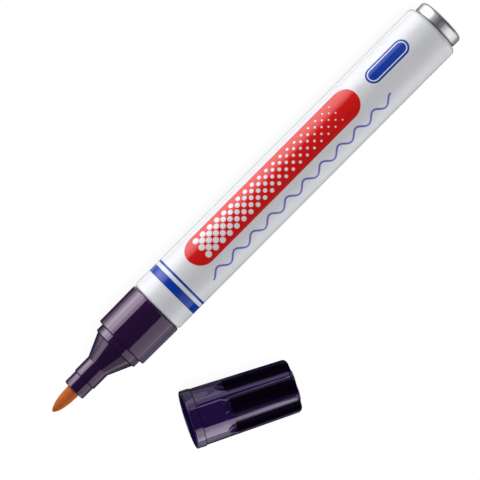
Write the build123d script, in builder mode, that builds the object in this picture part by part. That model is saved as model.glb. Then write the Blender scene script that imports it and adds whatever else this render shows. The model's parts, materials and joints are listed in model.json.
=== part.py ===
from build123d import *

import os
from math import atan, cos, isclose, radians, sin

# A bullet-tip marker for invisible ink, lying on a table beside its cap.
# Millimetres. The pen lies along +X with its nib forward, and +Z is up.
# The origin is the middle of the rear end face, on the pen's axis.

# Clearances
fit_gap = 0.05          # radial gap of everything that is pushed in or slides
film_gap = 0.03         # radial gap between the fibre rod and its film

# Barrel: a drawn aluminium tube, turned in at both ends
barrel_diameter = 15.0
barrel_length = 95.1
barrel_wall = 0.45
barrel_rim_radius = 0.65
barrel_lip_depth = 0.9
barrel_shoulder_radius = 1.0

# End plug: a bare stub behind the barrel, a groove, and a sleeve inside the barrel
shoulder_step = 1.15
stub_length = 3.2
stub_edge_radius = 0.85
stub_groove_width = 0.5
stub_groove_depth = 0.3
plug_end_wall = 0.8
plug_seat_thickness = 0.8
plug_seat_width = 0.8
plug_sleeve_length = 8.0

# Nose section: collar, cap seat, cone, sealing land and nozzle
collar_length = 12.1
collar_rear_step = 0.02
collar_draft = 0.11
collar_rear_edge = 0.5
collar_front_edge = 0.3
seat_step = 1.02
seat_length = 2.1
seat_edge = 0.2
cone_length = 5.9
cone_rear_step = 0.48
land_diameter = 6.5
land_length = 4.6
nozzle_diameter = 6.0
nozzle_length = 3.7
nozzle_edge_radius = 0.35
skirt_length = 10.0
skirt_groove_wall = 0.55
skirt_lead_in = 0.4
skirt_rib_count = 3
skirt_rib_spacing = 3.0
skirt_relief_width = 1.8
skirt_relief_depth = 0.2
core_reach = 1.5
chamber_wall = 2.6
chamber_length = 9.5
guide_start = 4.5
vent_count = 4
vent_width = 0.6
vent_depth = 0.35

# Nib: a bonded fibre rod with a bullet tip
nib_diameter = 3.5
nib_exposed = 7.2
nib_flank_reach = 5.6
nib_tip_fullness = 0.45
nib_in_core = 8.0
nib_tail_chamfer = 0.4
nib_tail_room = 0.3

# Ink core and its film
film_thickness = 0.12
film_bare_end = 1.0

# Cap: a shell that is fluted for grip, and the liner that seals it
cap_rim_length = 2.45
cap_rim_step = 0.18
cap_rim_edge = 0.3
cap_rim_step_edge = 0.1
cap_taper = 0.42
cap_end_wall = 2.0
cap_end_radius = 1.1
cap_mouth_chamfer = 0.25
cap_bore_depth = 6.2
cap_bore_cone = 2.2
flute_count = 7
flute_start = 8.1
flute_ramp_length = 2.4
flute_depth = 1.6
flute_arc_radius = 2.05
flute_crease_radius = 0.4
flute_edge_radius = 0.2
liner_wall = 1.2
liner_floor = 0.8
liner_mouth_room = 0.3
liner_lead_in = 0.4
nib_tip_room = 1.2

# Where the cap lies: its mouth, seen from the front of the collar
cap_mouth_ahead = 2.1
cap_mouth_aside = 25.3
cap_turn = 152.3
cap_roll = -10.3

# Radii
barrel_radius = barrel_diameter / 2
barrel_inner_radius = barrel_radius - barrel_wall
lip_radius = barrel_radius - barrel_lip_depth
stub_radius = barrel_radius - shoulder_step
stub_neck_radius = stub_radius - stub_groove_depth
shoulder_opening_radius = stub_neck_radius + fit_gap
sleeve_radius = barrel_inner_radius - fit_gap
collar_rear_radius = barrel_radius - collar_rear_step
collar_front_radius = collar_rear_radius - collar_draft
seat_radius = collar_front_radius - seat_step
cone_rear_radius = seat_radius - cone_rear_step
land_radius = land_diameter / 2
nozzle_radius = nozzle_diameter / 2
nib_radius = nib_diameter / 2
guide_radius = nib_radius + fit_gap
skirt_groove_radius = lip_radius - fit_gap
holder_radius = skirt_groove_radius - skirt_groove_wall
film_radius = holder_radius - fit_gap
film_inner_radius = film_radius - film_thickness
core_radius = film_inner_radius - film_gap
chamber_radius = collar_front_radius - chamber_wall
cap_rim_radius = collar_front_radius
cap_body_radius = cap_rim_radius - cap_rim_step
cap_end_body_radius = cap_body_radius - cap_taper
cap_bore_radius = seat_radius + fit_gap
liner_inner_radius = land_radius + fit_gap
liner_radius = liner_inner_radius + liner_wall
liner_seat_radius = liner_radius + fit_gap

# Stations along the pen, from its rear end
shoulder_x = stub_length
rim_x = shoulder_x + barrel_length
plug_flange_x = shoulder_x + barrel_wall
core_rear_x = plug_flange_x + plug_seat_thickness
collar_x = rim_x + fit_gap
seat_x = collar_x + collar_length
cone_x = seat_x + seat_length
land_x = cone_x + cone_length
nozzle_x = land_x + land_length
nozzle_front_x = nozzle_x + nozzle_length
nib_tip_x = nozzle_front_x + nib_exposed
skirt_groove_x = rim_x - barrel_wall - fit_gap
skirt_x = skirt_groove_x - skirt_length
core_front_x = collar_x + core_reach
nib_tail_x = core_front_x - nib_in_core
chamber_end_x = core_front_x + chamber_length
guide_x = chamber_end_x + guide_start

# Stations along the cap, from its mouth
cap_land = land_x - seat_x
liner_floor_z = nib_tip_x - seat_x + nib_tip_room
liner_end_z = liner_floor_z + liner_floor
liner_mouth_z = cap_land + liner_mouth_room
cap_length = liner_end_z + cap_end_wall
flute_floor_z = flute_start + flute_ramp_length

# The cap lies on its rim and on the edge of its closed end, so its axis dips a little
cap_foot_z = cap_length - cap_end_radius
cap_dip = atan((cap_rim_radius - cap_end_body_radius) / (cap_foot_z - cap_rim_length))
cap_heading = Vector(cos(radians(cap_turn)), sin(radians(cap_turn)), 0)
cap_axis_dir = cap_heading * cos(cap_dip) - Vector(0, 0, 1) * sin(cap_dip)
cap_up_dir = cap_heading * sin(cap_dip) + Vector(0, 0, 1) * cos(cap_dip)
cap_side_dir = cap_axis_dir.cross(cap_up_dir)
cap_mouth_height = cap_rim_radius * cos(cap_dip) + cap_rim_length * sin(cap_dip)
cap_mouth = Vector(seat_x + cap_mouth_ahead, cap_mouth_aside, cap_mouth_height - barrel_radius)
cap_flute_dir = cap_up_dir * cos(radians(cap_roll)) + cap_side_dir * sin(radians(cap_roll))

# Each half has a frame whose z runs along its own axis
pen_frame = Plane((0, 0, 0), x_dir=(0, 0, 1), z_dir=(1, 0, 0))
cap_frame = Plane(cap_mouth, x_dir=cap_flute_dir, z_dir=cap_axis_dir)


def lengthwise(frame):
    """The plane through a piece's axis: x runs out from the axis, and y along it."""
    return Plane(frame.origin, x_dir=frame.x_dir, z_dir=-frame.y_dir)


def centre_line(frame):
    """The axis that a piece is turned about."""
    return Axis(frame.origin, frame.z_dir)


def corner(profile, radius, station):
    """The corner of a turned profile that is nearest to a radius and a station."""
    return profile.vertices().sort_by_distance((radius, station, 0))[0]


# Barrel: both ends are turned in, so the wall keeps its thickness round the bends
rim_inner_radius = max(barrel_rim_radius - barrel_wall, barrel_wall / 5)
shoulder_room = barrel_inner_radius - shoulder_opening_radius
shoulder_radius = min(barrel_shoulder_radius, 0.9 * shoulder_step)
shoulder_inner_radius = min(max(shoulder_radius - barrel_wall, barrel_wall / 5), 0.9 * shoulder_room)

with BuildPart() as barrel:
    with BuildSketch(lengthwise(pen_frame)) as barrel_profile:
        with BuildLine():
            Polyline(
                (shoulder_opening_radius, shoulder_x),
                (barrel_radius, shoulder_x),
                (barrel_radius, rim_x),
                (lip_radius, rim_x),
                (lip_radius, rim_x - barrel_wall),
                (barrel_inner_radius, rim_x - barrel_wall),
                (barrel_inner_radius, plug_flange_x),
                (shoulder_opening_radius, plug_flange_x),
                close=True,
            )
        make_face()
        fillet(corner(barrel_profile, barrel_radius, shoulder_x), shoulder_radius)
        fillet(corner(barrel_profile, barrel_radius, rim_x), barrel_rim_radius)
        fillet(corner(barrel_profile, barrel_inner_radius, rim_x - barrel_wall), rim_inner_radius)
        fillet(corner(barrel_profile, barrel_inner_radius, plug_flange_x), shoulder_inner_radius)
    revolve(axis=centre_line(pen_frame))

# End plug: the shoulder is rolled into the groove between its stub and its flange, and its
# sleeve holds the rear of the core
with BuildPart() as end_plug:
    with BuildSketch(lengthwise(pen_frame)) as plug_profile:
        with BuildLine():
            Polyline(
                (0, 0),
                (stub_radius, 0),
                (stub_radius, shoulder_x - stub_groove_width),
                (stub_neck_radius, shoulder_x - stub_groove_width),
                (stub_neck_radius, plug_flange_x),
                (sleeve_radius, plug_flange_x),
                (sleeve_radius, plug_flange_x + plug_sleeve_length),
                (holder_radius, plug_flange_x + plug_sleeve_length),
                (holder_radius, core_rear_x),
                (holder_radius - plug_seat_width, core_rear_x),
                (holder_radius - plug_seat_width, plug_end_wall),
                (0, plug_end_wall),
                close=True,
            )
        make_face()
        fillet(corner(plug_profile, stub_radius, 0), stub_edge_radius)
        chamfer(corner(plug_profile, sleeve_radius, plug_flange_x), shoulder_inner_radius)
    revolve(axis=centre_line(pen_frame))

# Nose section: the barrel's lip is rolled into the groove behind the collar
with BuildPart(pen_frame) as nose_section:
    with BuildSketch(lengthwise(pen_frame)) as nose_profile:
        with BuildLine():
            Polyline(
                (holder_radius, skirt_x),
                (sleeve_radius, skirt_x),
                (sleeve_radius, skirt_groove_x),
                (skirt_groove_radius, skirt_groove_x),
                (skirt_groove_radius, collar_x),
                (collar_rear_radius, collar_x),
                (collar_front_radius, seat_x),
                (seat_radius, seat_x),
                (seat_radius, cone_x),
                (cone_rear_radius, cone_x),
                (land_radius, land_x),
                (land_radius, nozzle_x),
                (nozzle_radius, nozzle_x),
                (nozzle_radius, nozzle_front_x),
                (guide_radius, nozzle_front_x),
                (guide_radius, guide_x),
                (chamber_radius, chamber_end_x),
                (chamber_radius, core_front_x),
                (holder_radius, core_front_x),
                close=True,
            )
        make_face()
        chamfer(corner(nose_profile, sleeve_radius, skirt_x), skirt_lead_in)
        fillet(corner(nose_profile, collar_rear_radius, collar_x), collar_rear_edge)
        fillet(corner(nose_profile, collar_front_radius, seat_x), collar_front_edge)
        fillet(corner(nose_profile, seat_radius, cone_x), seat_edge)
        fillet(corner(nose_profile, nozzle_radius, nozzle_front_x), nozzle_edge_radius)
    revolve(axis=centre_line(pen_frame))

    # Reliefs between the skirt's sealing ribs
    relief_middle_x = (skirt_x + skirt_lead_in + skirt_groove_x) / 2
    with BuildSketch(lengthwise(pen_frame)):
        with Locations((sleeve_radius, relief_middle_x)):
            with GridLocations(0, skirt_rib_spacing, 1, skirt_rib_count):
                Rectangle(2 * skirt_relief_depth, skirt_relief_width)
    revolve(axis=centre_line(pen_frame), mode=Mode.SUBTRACT)

    # Air vents along the nib's guide
    with BuildSketch(pen_frame.offset(nozzle_front_x)):
        with PolarLocations(guide_radius, vent_count):
            Rectangle(2 * vent_depth, vent_width)
    extrude(amount=chamber_end_x - nozzle_front_x, mode=Mode.SUBTRACT)

# Nib: a round rod, with a bullet tip in front of the nozzle
with BuildPart() as nib:
    with BuildSketch(lengthwise(pen_frame)):
        with BuildLine():
            rod = Polyline(
                (0, nib_tail_x),
                (nib_radius - nib_tail_chamfer, nib_tail_x),
                (nib_radius, nib_tail_x + nib_tail_chamfer),
                (nib_radius, nozzle_front_x),
            )
            tip = Bezier(
                rod @ 1,
                (nib_radius, nozzle_front_x + nib_flank_reach),
                (nib_tip_fullness, nib_tip_x),
                (0, nib_tip_x),
            )
            Line(tip @ 1, rod @ 0)
        make_face()
    revolve(axis=centre_line(pen_frame))

# Ink core: a fibre rod between the plug's seat and the nose, with a socket for the nib
with BuildPart() as ink_core:
    with BuildSketch(lengthwise(pen_frame)):
        with BuildLine():
            Polyline(
                (0, core_rear_x),
                (core_radius, core_rear_x),
                (core_radius, core_front_x),
                (guide_radius, core_front_x),
                (guide_radius, nib_tail_x - nib_tail_room),
                (0, nib_tail_x - nib_tail_room),
                close=True,
            )
        make_face()
    revolve(axis=centre_line(pen_frame))

# Film: wraps the core and leaves its two ends bare
film_length = core_front_x - core_rear_x - 2 * film_bare_end

with BuildPart() as core_film:
    with BuildSketch(pen_frame.offset(core_rear_x + film_bare_end)):
        Circle(film_radius)
        Circle(film_inner_radius, mode=Mode.SUBTRACT)
    extrude(amount=film_length)

# One flute as a cutter, with the cap standing on its mouth: its floor follows the cap's
# taper out through the closed end, and a straight ramp leads up to the plain skirt
cap_body_length = cap_length - cap_rim_length
cap_slope = cap_taper / cap_body_length
flute_body_radius = cap_body_radius - cap_slope * (flute_floor_z - cap_rim_length)
flute_axis_radius = flute_body_radius - flute_depth + flute_arc_radius
flute_run = cap_length - flute_floor_z + cap_end_wall
flute_ramp_rise = flute_depth + cap_slope * flute_ramp_length

with BuildPart() as flute_cutter:
    with BuildSketch(Plane.XY.offset(flute_floor_z)) as flute_section:
        with Locations((flute_axis_radius, 0)):
            Circle(flute_arc_radius)
    extrude(flute_section.sketch, amount=flute_run, dir=(-cap_slope, 0, 1))
    extrude(flute_section.sketch, amount=2 * flute_ramp_length, dir=(flute_ramp_rise, 0, -flute_ramp_length))

# Cap shell: a turned shell, then the flutes round its closed half
with BuildPart(cap_frame) as cap_shell:
    with BuildSketch(lengthwise(cap_frame)) as shell_profile:
        with BuildLine():
            Polyline(
                (cap_bore_radius, 0),
                (cap_rim_radius, 0),
                (cap_rim_radius, cap_rim_length),
                (cap_body_radius, cap_rim_length),
                (cap_end_body_radius, cap_length),
                (0, cap_length),
                (0, liner_end_z),
                (liner_seat_radius, liner_end_z),
                (liner_seat_radius, cap_bore_depth + cap_bore_cone),
                (cap_bore_radius, cap_bore_depth),
                close=True,
            )
        make_face()
        chamfer(corner(shell_profile, cap_bore_radius, 0), cap_mouth_chamfer)
        fillet(corner(shell_profile, cap_rim_radius, 0), cap_rim_edge)
        fillet(corner(shell_profile, cap_rim_radius, cap_rim_length), cap_rim_step_edge)
        fillet(corner(shell_profile, cap_end_body_radius, cap_length), cap_end_radius)
    revolve(axis=centre_line(cap_frame))
    with PolarLocations(0, flute_count):
        add(flute_cutter.part, mode=Mode.SUBTRACT)

    # Each flute is rounded at the foot of its ramp, and then all round its outline
    round_edges = cap_shell.edges().filter_by(GeomType.CIRCLE)
    flute_arcs = round_edges.filter_by(lambda edge: isclose(edge.radius, flute_arc_radius))
    fillet(flute_arcs.sort_by(centre_line(cap_frame))[:flute_count], flute_crease_radius)
    flute_outlines = cap_shell.edges().filter_by(GeomType.BSPLINE).sort_by(SortBy.LENGTH)
    fillet(flute_outlines[-2 * flute_count :], flute_edge_radius)

# Cap liner: a cup pressed to the bottom of the shell, which closes round the sealing land
with BuildPart() as cap_liner:
    with BuildSketch(lengthwise(cap_frame)) as liner_profile:
        with BuildLine():
            Polyline(
                (liner_inner_radius, liner_mouth_z),
                (liner_radius, liner_mouth_z),
                (liner_radius, liner_end_z),
                (0, liner_end_z),
                (0, liner_floor_z),
                (liner_inner_radius, liner_floor_z),
                close=True,
            )
        make_face()
        chamfer(corner(liner_profile, liner_inner_radius, liner_mouth_z), liner_lead_in)
    revolve(axis=centre_line(cap_frame))

pieces = {
    "barrel": barrel,
    "end_plug": end_plug,
    "nose_section": nose_section,
    "nib": nib,
    "ink_core": ink_core,
    "core_film": core_film,
    "cap_shell": cap_shell,
    "cap_liner": cap_liner,
}

os.makedirs("parts", exist_ok=True)
for name, piece in pieces.items():
    piece.part.label = name
    export_step(piece.part, f"parts/{name}.step")
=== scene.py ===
# %% [markdown]
# # A bullet-tip marker beside its cap
# This notebook dresses a finished set of solids: a marker that lies on a table, and the cap that was
# drawn off it. The solids are already true to size, so the work here is light, finish, and the few
# shapes that a solid model leaves plain.

import json
import math
import random

import bpy
from mathutils import Matrix, Vector


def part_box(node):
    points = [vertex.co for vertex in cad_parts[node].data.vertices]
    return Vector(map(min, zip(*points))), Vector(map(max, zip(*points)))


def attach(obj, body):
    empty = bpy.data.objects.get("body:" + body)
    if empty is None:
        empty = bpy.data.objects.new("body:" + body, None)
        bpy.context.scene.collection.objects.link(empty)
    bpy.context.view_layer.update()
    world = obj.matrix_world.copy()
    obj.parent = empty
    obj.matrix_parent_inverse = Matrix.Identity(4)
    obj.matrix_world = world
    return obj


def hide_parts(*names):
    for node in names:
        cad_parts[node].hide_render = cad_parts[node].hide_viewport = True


MM = 0.001

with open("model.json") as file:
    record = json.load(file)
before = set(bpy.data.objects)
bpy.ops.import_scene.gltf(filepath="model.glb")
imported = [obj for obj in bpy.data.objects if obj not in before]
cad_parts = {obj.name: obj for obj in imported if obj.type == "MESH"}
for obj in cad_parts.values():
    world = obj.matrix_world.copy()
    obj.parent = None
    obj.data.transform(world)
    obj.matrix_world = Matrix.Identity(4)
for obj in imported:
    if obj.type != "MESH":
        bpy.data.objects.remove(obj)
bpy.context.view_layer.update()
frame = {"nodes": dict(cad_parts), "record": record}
nodes = frame["nodes"]
barrel_low, barrel_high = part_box("barrel")
barrel_radius = barrel_high.z
floor_height = barrel_low.z
print("solids:", ", ".join(sorted(nodes)))
print("barrel radius %.2f mm, table at z = %.2f mm" % (barrel_radius / MM, floor_height / MM))

# %% [markdown]
# ## The camera
# The picture looks down on the table from a little to one side, through a long lens, so the two ends
# of the pen come out almost equally wide. The camera could be turned by three angles, but here it is
# built from the direction of the view and from what is up in the picture: those two are easy to see.

# %% Place the camera
PICTURE_SIDE = 480
FOCAL_LENGTH = 3137                     # in pixels of the picture
SENSOR_WIDTH = 36                       # in millimetres
FARTHEST_SEEN = 10                      # in metres
view_point = Vector((72.52, 2.90, 0)) * MM
view_distance = 761 * MM
view_lean = Vector((0.021, -0.1886))    # how far the view leans from straight above
view_roll = 0.0088                      # radians

towards_camera = Vector((*view_lean, math.sqrt(1 - view_lean.length_squared)))
picture_up = Vector((-1, -1, 0))        # the nib points to the lower left
picture_up = (picture_up - towards_camera * picture_up.dot(towards_camera)).normalized()
picture_up.rotate(Matrix.Rotation(view_roll, 3, towards_camera))
picture_right = picture_up.cross(towards_camera)

bpy.ops.object.camera_add(location=view_point + towards_camera * view_distance)
camera = bpy.context.object
camera.rotation_euler = Matrix((picture_right, picture_up, towards_camera)).transposed().to_euler()
camera.data.sensor_width = SENSOR_WIDTH
camera.data.lens = FOCAL_LENGTH / PICTURE_SIDE * camera.data.sensor_width
camera.data.clip_end = FARTHEST_SEEN
bpy.context.scene.camera = camera
bpy.context.scene.view_settings.view_transform = "Standard"
print("camera %.0f mm above the table" % ((camera.location.z - floor_height) / MM))

# %% [markdown]
# ## Sums on sockets
# A procedural finish is arithmetic on the place of a point. Math nodes linked by hand hide that
# arithmetic, so a small class wraps a socket: `1 - mask` or `x * x + y * y` then adds the nodes by
# itself. Every other kind of node comes from its one method, `node`, and a few helpers give the most
# common ones a plain name.

# %% A class for shader sums


class Wire:
    """One output of a shader node, or a bare node tree to start from."""

    def __init__(self, tree, socket=None):
        self.tree = tree
        self.socket = socket

    def node(self, kind, sockets=None, output=0, **settings):
        """Adds a node: its settings first, then the values or wires of its sockets."""
        made = self.tree.nodes.new(kind)
        for name, value in settings.items():
            setattr(made, name, value)
        for name, value in (sockets or {}).items():
            if isinstance(value, Wire):
                self.tree.links.new(value.socket, made.inputs[name])
            else:
                made.inputs[name].default_value = value
        return Wire(self.tree, made.outputs[output])

    def math(self, operation, *others):
        """Adds a Math node that has no operator of its own here."""
        return self.node("ShaderNodeMath", dict(enumerate((self, *others))), operation=operation)

    def to(self, shader, socket):
        """Feeds one of a shader's sockets."""
        self.tree.links.new(self.socket, shader.inputs[socket])

    def __add__(self, other):
        return self.math("ADD", other)

    def __sub__(self, other):
        return self.math("SUBTRACT", other)

    def __rsub__(self, other):
        return self.node("ShaderNodeMath", {0: other, 1: self}, operation="SUBTRACT")

    def __mul__(self, other):
        return self.math("MULTIPLY", other)

    def __truediv__(self, other):
        return self.math("DIVIDE", other)

    def __pow__(self, other):
        return self.math("POWER", other)

    def __abs__(self):
        return self.math("ABSOLUTE")

    __radd__ = __add__
    __rmul__ = __mul__


print("Wire can", ", ".join(name for name in vars(Wire) if not name.startswith("_")))

# %% Helpers for finishes


def new_finish(name, **constants):
    """A material with one Principled shader, whose constant sockets are set here."""
    material = bpy.data.materials.new(name)
    material.use_nodes = True
    shader = material.node_tree.nodes["Principled BSDF"]
    for socket, value in constants.items():
        shader.inputs[socket.replace("_", " ")].default_value = value
    return material, shader, Wire(material.node_tree)


def linear(red, green, blue):
    """A colour that is named by its 0 to 255 display values, as a shader wants it."""
    shares = [value / 255 for value in (red, green, blue)]
    return (*[s / 12.92 if s < 0.04045 else ((s + 0.055) / 1.055) ** 2.4 for s in shares], 1)


def mix_colours(share, first, second):
    """Shows the first colour where the share is 0 and the second where it is 1."""
    return share.node("ShaderNodeMix", {0: share, 6: first, 7: second}, output=2, data_type="RGBA")


def mix_shaders(share, first, second):
    """Shows the first shader where the share is 0 and the second where it is 1."""
    sockets = {0: share, 1: Wire(share.tree, first.outputs[0]), 2: Wire(share.tree, second.outputs[0])}
    share.node("ShaderNodeMixShader", sockets).to(share.tree.nodes["Material Output"], "Surface")


def ramp(value, start, stop, low=0.0, high=1.0):
    """Runs from low to high while the value runs from start to stop, and stays put beyond them."""
    return value.node("ShaderNodeMapRange", {0: value, 1: start, 2: stop, 3: low, 4: high})


def dot(vector, direction):
    """How far a vector reaches along a direction."""
    return vector.node(
        "ShaderNodeVectorMath", {0: vector, 1: direction}, output="Value", operation="DOT_PRODUCT"
    )


print("display grey 128 is %.3f in a shader" % linear(128, 128, 128)[0])

# %% [markdown]
# ## The table
# The object lies on a white sweep. Ordinary white paper would need lamps so strong that the pen would
# bleach, so the camera sees it as plain white, which only fades where the object stands close above
# it: that is the soft contact shadow of a bright studio. The gloss sees it white too, but darker under
# the object and in two patches, before the nib and beside the rear end. All other light finds ordinary
# paper, so the sweep still throws a little light up at the pen.

# %% Lay the table
TABLE_SIDE = 3.0
PAPER_WHITE = (0.85, 0.85, 0.86, 1)
WIDE_SHADE, CONTACT_SHADE = 300 * MM, 7 * MM
SHADE_SAMPLES = 12
CONTACT_LEVEL = 0.86                    # of white, where the object touches the table
DIM_PATCHES = ((145, -5), (-5, 25))     # in millimetres on the table
DIM_LEVEL, DIM_FULL, DIM_END = 0.35, 15.0, 45.0

bpy.ops.mesh.primitive_plane_add(size=TABLE_SIDE, location=(0, 0, floor_height))
table = bpy.context.object
table.name = "table"

paper, paper_shader, net = new_finish("white_sweep", Roughness=0.9, Specular_IOR_Level=0.0)
paper_shader.inputs["Base Color"].default_value = PAPER_WHITE
is_camera = net.node("ShaderNodeLightPath", output="Is Camera Ray")
is_glossy = net.node("ShaderNodeLightPath", output="Is Glossy Ray")
is_passing = net.node("ShaderNodeLightPath", output="Is Transmission Ray")


def openness(distance):
    """1 where nothing stands above the table within a distance, and less near the object."""
    return net.node(
        "ShaderNodeAmbientOcclusion", {"Distance": distance}, output="AO", samples=SHADE_SAMPLES
    )


# what the camera sees: white with a painted contact shadow from the ambient occlusion
shown = ramp(openness(CONTACT_SHADE), 0.1, 0.7, CONTACT_LEVEL, 1.0)

# what the gloss sees: the shade is steeper on the cap's side of the pen
on_table = net.node("ShaderNodeTexCoord", output="Object")
beside = net.node("ShaderNodeSeparateXYZ", {0: on_table}, output="Y") / MM
mirrored = openness(WIDE_SHADE) ** ramp(beside, -5.0, 5.0, 10.0, 24.0)
# painted shade: the gloss sees the table dimmer round two points, before the nib and beside the rear end
for x, y in DIM_PATCHES:
    middle = (x * MM, y * MM, 0)
    away = net.node(
        "ShaderNodeVectorMath", {0: on_table, 1: middle}, output="Value", operation="DISTANCE"
    )
    mirrored = mirrored * ramp(away / MM, DIM_FULL, DIM_END, DIM_LEVEL, 1.0)

white = is_camera * shown + (1 - is_camera) * mirrored
glow = net.node("ShaderNodeEmission", {"Color": white, "Strength": 1.0})
seen_plainly = is_camera.math("MAXIMUM", is_glossy).math("MAXIMUM", is_passing)
mix_shaders(seen_plainly, paper_shader, glow.socket.node)
table.data.materials.append(paper)
print("table %.1f m wide, %d nodes" % (TABLE_SIDE, len(net.tree.nodes)))

# %% [markdown]
# ## The light
# Gloss shows the room. The bright stripes along the pen are two pale walls, one on each side, and the
# dark stripe between them is the open ceiling round the camera. The room could be built of planes, but
# a painted sky is easier to adjust: each wall starts at a plane through the object, so one dot product
# with the direction of a ray says how far inside the wall it points.

# %% Paint the walls of the room
CEILING_LIGHT = 0.03
RIGHT_WALL_LIGHT = 1.05
LEFT_WALL_LIGHT = 0.78
WALL_FADE = 0.3                         # how much dimmer a wall is at its top
SKY_TINT = (1.0, 1.0, 1.03, 1)
right_wall_side = Vector((-2.1, 1.0, -0.38)).normalized()
right_wall_end = Vector((1.0, 0.25, 0.3)).normalized()
left_wall_end = Vector((1.0, -1.0, 0.0)).normalized()
left_wall_side = Vector((-0.08, -1.0, -1.40)).normalized()

world = bpy.data.worlds.new("studio")
bpy.context.scene.world = world
world.use_nodes = True
net = Wire(world.node_tree)
direction = net.node("ShaderNodeTexCoord", output="Generated")
rise = net.node("ShaderNodeSeparateXYZ", {0: direction}, output="Z")


def within(side, start=0.0, stop=0.045):
    """1 for the directions that point into a wall, with a soft edge."""
    return ramp(dot(direction, side), start, stop)


right_wall = within(right_wall_side, 0.016, 0.034) * within(right_wall_end) * RIGHT_WALL_LIGHT
left_wall = within(left_wall_side) * within(left_wall_end) * LEFT_WALL_LIGHT
level = CEILING_LIGHT + right_wall.math("MAXIMUM", left_wall) * (1 - WALL_FADE * rise)
level.to(world.node_tree.nodes["Background"], "Strength")
world.node_tree.nodes["Background"].inputs["Color"].default_value = SKY_TINT
print("walls of %.2f and %.2f, ceiling of %.2f" % (LEFT_WALL_LIGHT, RIGHT_WALL_LIGHT, CEILING_LIGHT))

# %% [markdown]
# Lit boards stand before the walls and brighten single stripes, as reflector boards do in a studio.
# They show in the gloss only, so none of them changes a colour. The pen's own board stands low on the
# left. Strips of light just above the table, which face up and grow brighter away from the pen, give
# the lower left of the barrel its slow rise to white and keep its left edge from going dark.

# %% Light the pen


def lit_board(name, x_range, middle, depth, lean, radiance, in_gloss=True, turn=0):
    """A lit rectangle along x. A lean of 0 faces down, 90 faces +Y, -90 faces -Y and 180 faces up."""
    x_low, x_high = x_range
    y, z = middle
    bpy.ops.object.light_add(type="AREA", location=Vector(((x_low + x_high) / 2, y, z)) * MM)
    lamp = bpy.context.object
    lamp.name = name
    leaning = Matrix.Rotation(math.radians(lean), 3, "X")
    lamp.rotation_euler = (leaning @ Matrix.Rotation(math.radians(turn), 3, "Z")).to_euler()
    lamp.visible_glossy = in_gloss
    lamp.visible_diffuse = not in_gloss
    lamp.data.shape = "RECTANGLE"
    lamp.data.size = (x_high - x_low) * MM
    lamp.data.size_y = depth * MM
    lamp.data.energy = radiance * math.pi * lamp.data.size * lamp.data.size_y
    print("%s: %.0f x %.0f mm, %.2f W" % (name, x_high - x_low, depth, lamp.data.energy))


ABOVE_TABLE = -7                        # height of what lies just above the table, in millimetres

lit_board("pen_board", (-48, 300), (-300, 95), 204, 90, 1.45)
lit_board("pen_board_foot", (-48, 300), (-290, 50), 114, 90, 1.25)
for name, x_range, far, near, radiance in (
    ("table_glow_far", (-48, 128), -290, -55, 3.4),
    ("table_glow_middle", (-15, 128), -55, -32, 2.3),
    ("table_glow_near", (-10, 128), -32, -21, 1.2),
    ("table_glow_edge", (-8, 128), -21, -14, 0.25),
    ("table_glow_rim", (3.6, 99), -14, -9, 0.8),
):
    lit_board(name, x_range, ((far + near) / 2, ABOVE_TABLE), near - far, 180, radiance)

# %% [markdown]
# The cone of the nose leans forwards, so it mirrors boards that stand far out in front. The cap lies
# at an angle of its own and finds its boards on the right. Its rim has no taper, so it mirrors another
# part of the room than the body does, and has two boards to itself. The fine line along the top of the
# cap is a narrow batten, turned until its reflection runs along the crest. The metal stub mirrors what
# stands beside the rear end, to its left and to its right.

# %% Light the nose, the cap and the stub
lit_board("cone_left_board", (300, 460), (-300, 96), 206, 90, 0.7)
lit_board("cone_right_board", (290, 520), (300, 145), 303, -90, 0.4)
lit_board("cap_board", (150, 285), (300, 160), 334, -90, 1.4)
lit_board("cap_board_middle", (150, 285), (294, 242), 170, -90, 0.45)
lit_board("cap_board_foot", (150, 285), (290, 75), 164, -90, 0.6)
lit_board("cap_rim_board", (181, 285), (296, 376), 98, -90, 1.2)
lit_board("cap_rim_left_board", (-139, -95), (-296, 325), 150, 90, 0.6)
lit_board("cap_batten", (-252, -114), (-298, 344), 44, 90, 1.25, turn=56.5)
lit_board("stub_board", (-115, -22), (300, 355), 490, -90, 0.5)
lit_board("stub_left_board", (-75, -30), (-299, 300), 200, 90, 0.6)
lit_board("stub_left_board_top", (-105, -40), (-299, 560), 320, 90, 0.3)

# %% [markdown]
# Small cards stand between the pen and the cap, so that neither mirrors the other as a black patch:
# three for the collar, one for the cap, and a strip on the table at its foot. The fill lamps are the
# opposite of a board: they light the lacquer, whose colour comes from light of all sides, but are kept
# out of the gloss. Three hang round the pen, and one lies on the table.

# %% Add the cards and the fill
for name, y, low, high, radiance in (
    ("collar_card", 13.0, -7, 7, 0.22),
    ("collar_card_middle", 12.6, 0.5, 6.6, 0.2),
    ("collar_card_top", 12.2, 3.4, 6.6, 0.3),
):
    lit_board(name, (96, 113), (y, (low + high) / 2), high - low, -90, radiance)
lit_board("cap_card", (82, 132), (14, 0.5), 15, 90, 0.4)
lit_board("card_foot", (82, 132), (19, ABOVE_TABLE), 10, 180, 0.1)

FILL_DISTANCE = 600
FILL_RANGE = (-90, 210)
for name, lean, radiance in (("left_fill", 80, 13.1), ("top_fill", -20, 2.9), ("right_fill", -75, 6.6)):
    turned = math.radians(lean)
    middle = (-math.sin(turned) * FILL_DISTANCE, math.cos(turned) * FILL_DISTANCE)
    lit_board(name, FILL_RANGE, middle, 300, lean, radiance, in_gloss=False)
lit_board("table_fill", FILL_RANGE, (-90, ABOVE_TABLE), 150, 180, 0.3, in_gloss=False)

# %% [markdown]
# ## White lacquer and its print
# The barrel is an aluminium tube under white lacquer, with a printed band on it. The print could be
# painted on a picture and wrapped round, but its shapes are so plain that each is better written as
# the distance from its edge, in millimetres along the barrel and round it. A distance stays sharp at
# any zoom, and one more subtraction turns a filled shape into its outline.

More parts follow.
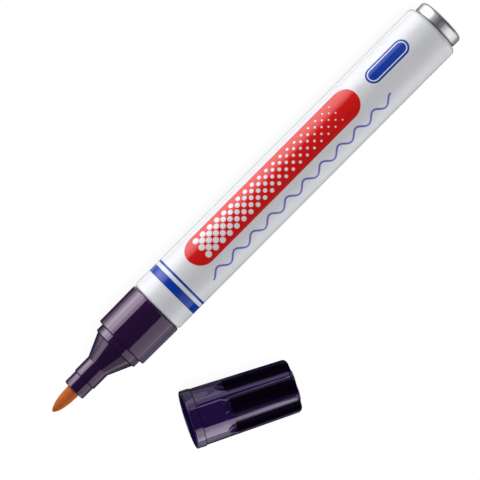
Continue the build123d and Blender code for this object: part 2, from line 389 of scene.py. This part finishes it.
# %% Shapes for the print
INK_EDGE = 0.05                         # how soft the edge of the ink is, in millimetres
BORDER_SLACK = 0.1                      # keeps a dot whose middle falls on the border


def place_of(net):
    """The place of a point on its piece, in metres."""
    return net.node("ShaderNodeTexCoord", output="Object")


def millimetres(place):
    """The three coordinates of a place, in millimetres."""
    return [place.node("ShaderNodeSeparateXYZ", {0: place}, output=axis) / MM for axis in "XYZ"]


def inked(distance, edge=INK_EDGE):
    """1 inside a shape and 0 outside it."""
    return ramp(distance, edge, -edge)


def band(along, start, stop):
    """How far a point is outside a straight band."""
    return abs(along - (start + stop) / 2) - (stop - start) / 2


def lozenge(along, across, start, stop, half_width):
    """How far a point is outside a bar with round ends."""
    straight = (stop - start) / 2 - half_width
    past_end = (abs(along - (start + stop) / 2) - straight).math("MAXIMUM", 0.0)
    return (past_end * past_end + across * across).math("SQRT") - half_width


def dots(along, across, start, stop, pitch, rows, big, small):
    """Dots on a diagonal grid, which shrink from one end to the other. None is cut at the border."""
    half = pitch / 2
    first = (across + along - start) / pitch
    second = (across - along + start) / pitch
    near_first, near_second = first.math("ROUND"), second.math("ROUND")
    row = near_first + near_second
    station = (near_first - near_second) * half + start
    from_dot = along - station
    beside_dot = across - row * half
    size = ramp(station, start, stop, big, small)
    in_rows = abs(row).math("LESS_THAN", rows / 2)
    in_length = band(station, min(start, stop), max(start, stop)).math("LESS_THAN", BORDER_SLACK)
    distance = (from_dot * from_dot + beside_dot * beside_dot).math("SQRT") - size
    return inked(distance) * (in_rows * in_length)


def wave(along, across, start, stop, height, length, stroke):
    """A sine line of even stroke."""
    turn = along * (2 * math.pi / length)
    slope = turn.math("COSINE") * (2 * math.pi * height / length)
    off_line = abs(across - turn.math("SINE") * height) / (slope * slope + 1).math("SQRT")
    return inked(off_line - stroke / 2) * inked(band(along, start, stop))


print("print shapes: band, lozenge, dots, wave")

# %% [markdown]
# Lacquer is sprayed on and baked. It dries with a slight orange peel and a fine speckle, and the ink
# of the print lies on it as a film that can just be felt. Both are far too fine for geometry, so they
# are noise and a step in the bump.

# %% Lacquer and print the barrel


def noise(place, scale, detail=2.0, stretch=(1, 1, 1)):
    """Even noise from 0 to 1, on coordinates that may be stretched first."""
    if stretch != (1, 1, 1):
        place = place.node("ShaderNodeMapping", {"Vector": place, "Scale": stretch})
    return place.node("ShaderNodeTexNoise", {"Vector": place, "Scale": scale, "Detail": detail})


def bump(height, depth):
    """A bump whose height of 1 stands for a depth in millimetres."""
    return height.node("ShaderNodeBump", {"Height": height, "Strength": 1.0, "Distance": depth * MM})


LACQUER_WHITE = (0.685, 0.69, 0.72, 1)
LACQUER_SHADE = (0.665, 0.67, 0.70, 1)
INK_RED = linear(204, 24, 24)
INK_BLUE = linear(12, 56, 158)
INK_VIOLET = linear(96, 92, 178)
PANEL_MIDDLE = -3.9                     # round the barrel from its top line, in millimetres
WAVE_MIDDLE = 3.3
LABEL_LINE_INSET, LABEL_LINE_WIDTH = 0.65, 0.28

lacquer, shader, net = new_finish("white_lacquer", IOR=1.46)
place = place_of(net)
x, y, z = millimetres(place)
around = y.math("ARCTAN2", z) * (barrel_radius / MM)
across_panel = around - PANEL_MIDDLE

panel = lozenge(x, across_panel, start=28, stop=85, half_width=4.2)
panel_dots = dots(x, across_panel, start=80.4, stop=34.8, pitch=2.4, rows=5, big=0.8, small=0.2)
label = lozenge(x, across_panel, start=10.5, stop=24, half_width=2.2)
label_line = inked(abs(label + LABEL_LINE_INSET) - LABEL_LINE_WIDTH / 2)
rings = inked(band(x, 91.0, 93.2)).math("MAXIMUM", inked(band(x, 89.4, 90.0)))
wavy_line = wave(x, around - WAVE_MIDDLE, start=22, stop=84, height=1.0, length=5.9, stroke=0.55)

red_ink = inked(panel) * (1 - panel_dots)
blue_ink = rings.math("MAXIMUM", inked(label) * (1 - label_line))
white = mix_colours(noise(place, 90.0), LACQUER_SHADE, LACQUER_WHITE)
colour = mix_colours(red_ink, white, INK_RED)
colour = mix_colours(blue_ink, colour, INK_BLUE)
colour = mix_colours(wavy_line, colour, INK_VIOLET)
colour.to(shader, "Base Color")
ink_film = red_ink.math("MAXIMUM", blue_ink).math("MAXIMUM", wavy_line)
speckle = noise(place, 5000.0)
(0.09 + 0.05 * speckle + 0.02 * ink_film).to(shader, "Roughness")
peel = noise(place, 650.0, 1.0)
bump(0.25 * peel + 0.03 * speckle + ink_film, 0.008).to(shader, "Normal")
print("lacquer:", len(net.tree.nodes), "nodes")

# %% [markdown]
# ## Bare aluminium
# The stub behind the barrel is turned metal. A lathe leaves fine rings: along the side they follow
# each other lengthwise, on the end face outwards. The sum of the two, length plus radius, counts the
# rings on both and runs smoothly round the edge between them. The narrow groove where the stub enters
# the barrel and the edge of the end face are darkened with painted shade, and are made rougher too.

# %% Turn the aluminium
METAL_PALE = (0.84, 0.845, 0.855, 1)
METAL_SHADE = (0.74, 0.745, 0.76, 1)
METAL_PAINTED_SHADE = (0.08, 0.08, 0.085, 1)


def lathe_rings(count, scale, detail):
    """Noise that changes from ring to ring and is even along each of them."""
    return count.node(
        "ShaderNodeTexNoise", {"W": count, "Scale": scale, "Detail": detail}, noise_dimensions="1D"
    )


aluminium, shader, net = new_finish("bare_aluminium", Metallic=0.93)
place = place_of(net)
x, y, z = millimetres(place)
ring_count = x + (y * y + z * z).math("SQRT")
fine_rings = lathe_rings(ring_count, 22.0, 3.0)
wide_rings = lathe_rings(ring_count, 3.0, 1.0)
smudge = noise(place, 260.0, 3.0)
ring_colour = mix_colours(fine_rings, METAL_SHADE, METAL_PALE)
# painted shade: the groove and the end edge are darkened towards near black, and also roughened
in_groove = ramp(x, 2.6, 2.9)
on_edge = ramp(x, 0.5, 0.2) * ramp(x, 0.0, 0.05)
groove_and_edge_shade = in_groove.math("MAXIMUM", on_edge)
mix_colours(0.7 * groove_and_edge_shade, ring_colour, METAL_PAINTED_SHADE).to(shader, "Base Color")
(0.23 + 0.10 * wide_rings + 0.08 * smudge + 0.3 * groove_and_edge_shade).to(shader, "Roughness")
bump(fine_rings, 0.006).to(shader, "Normal")
print("aluminium:", len(net.tree.nodes), "nodes")

# %% [markdown]
# ## Violet plastic
# The nose and the cap are injection mouldings in dark, glossy violet. The colour sits deep in the
# plastic, so its gloss has a violet tint too. A moulding is never quite even: the melt leaves faint
# clouds along its flow, the skin has a slight orange peel, and handling adds hairlines. All of that is
# noise at a scale of its own, and one helper feeds it to both mouldings.

# %% Mix the violet plastics
VIOLET_GLOSS = (0.955, 0.79, 1.0, 1)


def violet_skin(shader, place, colour):
    """Feeds a shader with the look of the glossy moulding."""
    flow = noise(place, 120.0, 3.0)
    peel = noise(place, 700.0, 1.0)
    grain = noise(place, 6000.0, 2.0)
    hairline = noise(place, 900.0, 2.0, (0.05, 1.0, 1.0)).math("GREATER_THAN", 0.68)
    deep = tuple(0.75 * share for share in colour[:3]) + (1,)
    mix_colours(flow, deep, colour).to(shader, "Base Color")
    (0.02 + 0.03 * grain + 0.04 * hairline).to(shader, "Roughness")
    bump(peel + 0.1 * grain, 0.002).to(shader, "Normal")


nose_violet, shader, net = new_finish("nose_violet", IOR=1.85, Specular_Tint=VIOLET_GLOSS)
place = place_of(net)
violet_skin(shader, place, linear(42, 15, 57))
print("nose violet:", len(net.tree.nodes), "nodes")

# %% [markdown]
# Three corners run round the nose, and each gets a thin dark line of painted shade, where shade falls
# in the step. A line is a band along x, which mixes in a second, dull shader.

# %% Paint shade lines into the corners
LINE_BACK, LINE_FRONT, LINE_EDGE = 0.25, 0.1, 0.08
LINE_SHARE = 0.85
nose_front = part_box("nose_section")[1].x / MM
corners = [nose_front - back for back in (16.3, 14.2, 3.7)]


def dull_shader(net):
    """A second shader for the same material, with hardly any gloss."""
    return net.node("ShaderNodeBsdfPrincipled", {"Specular IOR Level": 0.02}).socket.node


x = millimetres(place)[0]
# painted shade: a dark, dull skin is mixed into thin bands at the three steps
dull = dull_shader(net)
corner_shade_speckle = noise(place, 3000.0)
mix_colours(corner_shade_speckle, linear(26, 10, 36), linear(40, 16, 54)).to(dull, "Base Color")
lines = [inked(band(x, corner - LINE_BACK, corner + LINE_FRONT), LINE_EDGE) for corner in corners]
mix_shaders(LINE_SHARE * (lines[0] + lines[1] + lines[2]), shader, dull)
print("corner lines at", ", ".join("%.1f" % corner for corner in corners), "mm")

# %% [markdown]
# ## The cap's flutes
# The floors of the grip flutes were left rough in the mould, and their colour is painted almost black:
# that black is painted shade for the deep floors, beside the polished crests and ramps. Both finishes
# are on one moulding, so one material mixes two shaders. What chooses between them is how deep a point
# lies under the turned outline of the cap, which needs the point's distance along the cap's axis and
# its distance from that axis.

# %% Find the cap's own axis
MOUTH_CHAMFER = 0.25
mounts = {mount["name"]: mount for mount in frame["record"]["mounts"]}
bore = mounts["cap_mouth"]
cap_axis = -Vector(bore["axis"]).normalized()
cap_mouth = Vector(bore["pos_m"]) - cap_axis * (bore["dims"]["length_mm"] / 2 + MOUTH_CHAMFER) * MM
cap_side = Vector((0, 0, 1)).cross(cap_axis).normalized()
cap_top = cap_axis.cross(cap_side)
print("cap mouth at %s mm" % [round(c / MM, 2) for c in cap_mouth])

# %% [markdown]
# The open mouth shows the violet of the bore, which is too deep for the fill lamps to reach. A small
# lamp of its own stands before the mouth and shines in along the axis, again kept out of the gloss.

# %% Light the bore of the cap
MOUTH_LAMP_SIDE, MOUTH_LAMP_AWAY = 12 * MM, 12 * MM
MOUTH_LAMP_LIGHT = 5.0
bpy.ops.object.light_add(type="AREA", location=cap_mouth - cap_axis * MOUTH_LAMP_AWAY)
mouth_lamp = bpy.context.object
mouth_lamp.name = "mouth_lamp"
mouth_lamp.rotation_euler = cap_axis.to_track_quat("-Z", "Y").to_euler()
mouth_lamp.visible_glossy = False
mouth_lamp.data.size = MOUTH_LAMP_SIDE
mouth_lamp.data.energy = MOUTH_LAMP_LIGHT * math.pi * MOUTH_LAMP_SIDE ** 2
print("mouth lamp of %.4f W" % mouth_lamp.data.energy)

# %% Mix the cap's two skins
cap_violet, shader, net = new_finish("cap_violet", IOR=1.85, Specular_Tint=VIOLET_GLOSS)
place = place_of(net)
violet_skin(shader, place, linear(34, 16, 74))
rough_shaded_skin = dull_shader(net)
pits = noise(place, 4200.0, 3.0)
# painted shade: this skin's colour is near black, far darker than the violet of the moulding
mix_colours(pits, linear(5, 1, 12), linear(12, 4, 25)).to(rough_shaded_skin, "Base Color")
(0.5 + 0.2 * pits).to(rough_shaded_skin, "Roughness")
bump(pits, 0.02).to(rough_shaded_skin, "Normal")
print("two skins of", len(net.tree.nodes), "nodes")

# %% Measure the depth under the cap's outline
CAP_RIM_LENGTH, CAP_LENGTH = 2.45, 27.5
CAP_BODY_RADIUS, CAP_TAPER, CAP_END_ROUND = 7.19, 0.42, 1.1
FLUTE_FLOOR_START, END_FACE = 10.5, 0.05
SHALLOW, DEEP = 0.08, 0.6               # where the floor's finish begins and where it is full
from_mouth = net.node("ShaderNodeVectorMath", {0: place, 1: cap_mouth}, operation="SUBTRACT")
along = dot(from_mouth, cap_axis) / MM
reach = net.node("ShaderNodeVectorMath", {0: from_mouth}, output="Value", operation="LENGTH") / MM
radius = (reach * reach - along * along).math("MAXIMUM", 0.0).math("SQRT")
in_round = (along - (CAP_LENGTH - CAP_END_ROUND)).math("MAXIMUM", 0.0)
taper = (along - CAP_RIM_LENGTH) * (CAP_TAPER / (CAP_LENGTH - CAP_RIM_LENGTH))
round_drop = CAP_END_ROUND - (CAP_END_ROUND ** 2 - in_round * in_round).math("MAXIMUM", 0.0).math("SQRT")
depth = CAP_BODY_RADIUS - taper - round_drop - radius
in_flute = ramp(depth, SHALLOW, DEEP)
on_floor = along.math("GREATER_THAN", FLUTE_FLOOR_START) * along.math("LESS_THAN", CAP_LENGTH - END_FACE)
print("flute floors from %.1f to %.1f mm" % (FLUTE_FLOOR_START, CAP_LENGTH))

# %% [markdown]
# Three more places of the cap get the same dark, dull skin, as painted shade. The edges of the crests
# are painted dark: the angle round the axis counts the crests, and what is left after rounding that
# count is the way to the nearest one. The lip gets half of that skin, painted shade in place of the
# bright reflection it would show, and a line of painted shade runs in the corner behind the rim.

# %% Choose between the cap's skins
FLUTES, FIRST_CREST, CREST_PITCH = 7, 36.0, 6.2
EDGE_START, EDGE_FULL, EDGE_SHARE = 0.56, 0.76, 0.75
RIM_LINE_BACK, RIM_LINE_SHARE = 0.15, 0.8
LIP_LENGTH, LIP_SHARE = 0.35, 0.5
SHELL_INSIDE = 4.9                      # nearer to the axis than this lies only the inside
turn = dot(from_mouth, cap_side).math("ARCTAN2", dot(from_mouth, cap_top))
crest_count = (turn - math.radians(FIRST_CREST)) * (FLUTES / (2 * math.pi))
from_crest = abs(crest_count - crest_count.math("ROUND")) * CREST_PITCH
# painted shade: the dark skin along the edges of each crest
on_crest_edge = ramp(from_crest, EDGE_START, EDGE_FULL, 0.0, EDGE_SHARE)
behind_rim = band(along, CAP_RIM_LENGTH - RIM_LINE_BACK, CAP_RIM_LENGTH + LINE_FRONT)
# painted shade: a dark line in the corner behind the rim
rim_shade_line = RIM_LINE_SHARE * inked(behind_rim, LINE_EDGE)
# painted shade: half of the dark skin on the lip, over its reflection
on_lip = LIP_SHARE * along.math("LESS_THAN", LIP_LENGTH)
rough_and_shaded = in_flute.math("MAXIMUM", on_crest_edge) * on_floor
outside = radius.math("GREATER_THAN", SHELL_INSIDE)
# the dark skin is painted shade on the flute floors, the crest edges, the rim line and the lip
mix_shaders(rough_and_shaded.math("MAXIMUM", rim_shade_line.math("MAXIMUM", on_lip)) * outside, shader, rough_shaded_skin)
print("cap violet:", len(net.tree.nodes), "nodes")

# %% [markdown]
# ## The hidden pieces
# The fibre rod that holds the ink, the film round it and the liner of the cap are rarely seen, but
# they show when the nib is drawn out or when one looks into the cap, so they get finishes too. Fibres
# could be modelled one by one; noise that is stretched lengthwise gives the same streaks for less.

# %% Finish the hidden pieces


def fibre_bundle(name, pale, dark, scale, relief):
    """Bonded fibres that run along x."""
    material, shader, net = new_finish(name, Specular_IOR_Level=0.1)
    place = place_of(net)
    strands = noise(place, scale, 3.0, (0.03, 1.0, 1.0))
    clouds = noise(place, scale / 12, 2.0)
    streaks = ramp(0.8 * strands + 0.2 * clouds, 0.35, 0.65)
    mix_colours(streaks, dark, pale).to(shader, "Base Color")
    (0.72 + 0.2 * strands).to(shader, "Roughness")
    bump(strands, relief).to(shader, "Normal")
    print(name, "mixed")
    return material


core_fibre = fibre_bundle("core_fibre", linear(236, 234, 226), linear(196, 192, 180), 3200.0, 0.03)

clear_film, shader, net = new_finish("clear_film", IOR=1.5)
creases = noise(place_of(net), 300.0, 2.0, (0.2, 1.0, 1.0))
mix_colours(creases, linear(222, 226, 230), linear(240, 242, 244)).to(shader, "Base Color")
(0.18 + 0.2 * creases).to(shader, "Roughness")
bump(creases, 0.02).to(shader, "Normal")

liner_plastic, shader, net = new_finish("liner_plastic", IOR=1.5)
satin = noise(place_of(net), 2400.0, 2.0)
mix_colours(satin, linear(30, 20, 48), linear(40, 28, 62)).to(shader, "Base Color")
(0.3 + 0.15 * satin).to(shader, "Roughness")
bump(satin, 0.004).to(shader, "Normal")
print("film and liner mixed")

# %% Dress the solids
finishes = {
    "barrel": lacquer,
    "end_plug": aluminium,
    "nose_section": nose_violet,
    "ink_core": core_fibre,
    "core_film": clear_film,
    "cap_shell": cap_violet,
    "cap_liner": liner_plastic,
}
for name, material in finishes.items():
    nodes[name].data.materials.clear()
    nodes[name].data.materials.append(material)
print("dressed", len(finishes), "solids")

# %% [markdown]
# ## The nib
# The nib is a rod of bonded fibres, ground to a bullet. The solid is a smooth bullet, so a new one is
# modelled over it: a disc is extruded ring by ring along the bullet's curve, and then single strands
# are pressed in along the rod, so that the fibres show in its outline as well as in its colour.

# %% Model the nib
STRANDS = 84
BULLET_FLANK, BULLET_TIP_WIDTH = 5.6, 0.45
BULLET_RINGS = 26
TAIL_CHAMFER = 0.4 * MM
nib_low, nib_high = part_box("nib")
nib_radius = nib_high.z
bullet_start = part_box("nose_section")[1].x


def bullet(share):
    """Station and radius on the bullet's curve, for a share of its length from 0 to 1."""
    rest = 1 - share
    weights = (rest**3, 3 * rest**2 * share, 3 * rest * share**2, share**3)
    stations = (bullet_start, bullet_start + BULLET_FLANK * MM, nib_high.x, nib_high.x)
    radii = (nib_radius, nib_radius, BULLET_TIP_WIDTH * MM, 0)
    return sum(w * s for w, s in zip(weights, stations)), sum(w * r for w, r in zip(weights, radii))


straight_start = nib_low.x + TAIL_CHAMFER
straight_length = bullet_start - straight_start
rod = [(straight_start + share * straight_length, nib_radius) for share in (0, 0.3, 0.6, 0.85)]
rod += [bullet(number / BULLET_RINGS) for number in range(BULLET_RINGS)]
tail_radius = nib_radius - TAIL_CHAMFER

bpy.ops.object.select_all(action="DESELECT")
bpy.ops.mesh.primitive_circle_add(
    vertices=STRANDS,
    radius=tail_radius,
    fill_type="NGON",
    location=(nib_low.x, 0, 0),
    rotation=(0, math.pi / 2, 0),
)
felt = bpy.context.object
felt.name = "nib_felt"
bpy.ops.object.transform_apply(location=True, rotation=True, scale=True)
bpy.ops.object.mode_set(mode="EDIT")
bpy.ops.mesh.select_all(action="SELECT")
station, width = nib_low.x, tail_radius
for next_station, next_width in rod:
    bpy.ops.mesh.extrude_region_move(TRANSFORM_OT_translate={"value": (next_station - station, 0, 0)})
    bpy.ops.transform.resize(value=(1, next_width / width, next_width / width))
    station, width = next_station, next_width
bpy.ops.mesh.extrude_region_move(TRANSFORM_OT_translate={"value": (nib_high.x - station, 0, 0)})
bpy.ops.mesh.merge(type="CENTER")
bpy.ops.mesh.select_all(action="SELECT")
bpy.ops.mesh.remove_doubles(threshold=1e-6)
bpy.ops.mesh.normals_make_consistent(inside=False)
bpy.ops.object.mode_set(mode="OBJECT")
print("nib of %d rings and %d strands" % (len(rod) + 2, STRANDS))

# %% [markdown]
# The strands of a real nib are never all at one height. A strand is one row of points along the rod,
# and drawing a row a little towards the axis presses it in. The same seed picks the same strands each
# time. One level of subdivision then rounds the steps between neighbours.

# %% Press in single strands
picks = random.Random(7)
for squeeze, share in ((0.997, 0.34), (0.994, 0.2)):
    pressed = {number for number in range(STRANDS) if picks.random() < share}
    for vertex in felt.data.vertices:
        turn = math.atan2(vertex.co.y, vertex.co.z) / (2 * math.pi)
        vertex.select = round(turn * STRANDS) % STRANDS in pressed
    bpy.ops.object.mode_set(mode="EDIT")
    bpy.ops.transform.resize(value=(1, squeeze, squeeze), center_override=(0, 0, 0))
    bpy.ops.object.mode_set(mode="OBJECT")
    print("pressed in", len(pressed), "strands")

bpy.ops.object.modifier_add(type="SUBSURF")
felt.modifiers[-1].levels = felt.modifiers[-1].render_levels = 1
bpy.ops.object.modifier_apply(modifier=felt.modifiers[-1].name)
bpy.ops.object.shade_smooth()
print("nib of", len(felt.data.polygons), "faces")

# %% [markdown]
# The felt of the nib is orange brown. It is the same kind of bundle as the core, only finer and
# smoother because it is ground, so the same helper colours it. The new nib rides with the solid's body
# and stands in its place.

# %% Colour the nib
nib_fibre = fibre_bundle("nib_fibre", linear(188, 102, 50), linear(174, 88, 38), 3600.0, 0.002)
felt.data.materials.append(nib_fibre)
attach(felt, "nib")
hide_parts("nib")

# %% [markdown]
# ## The size
# Dressing must not change how large the object is.
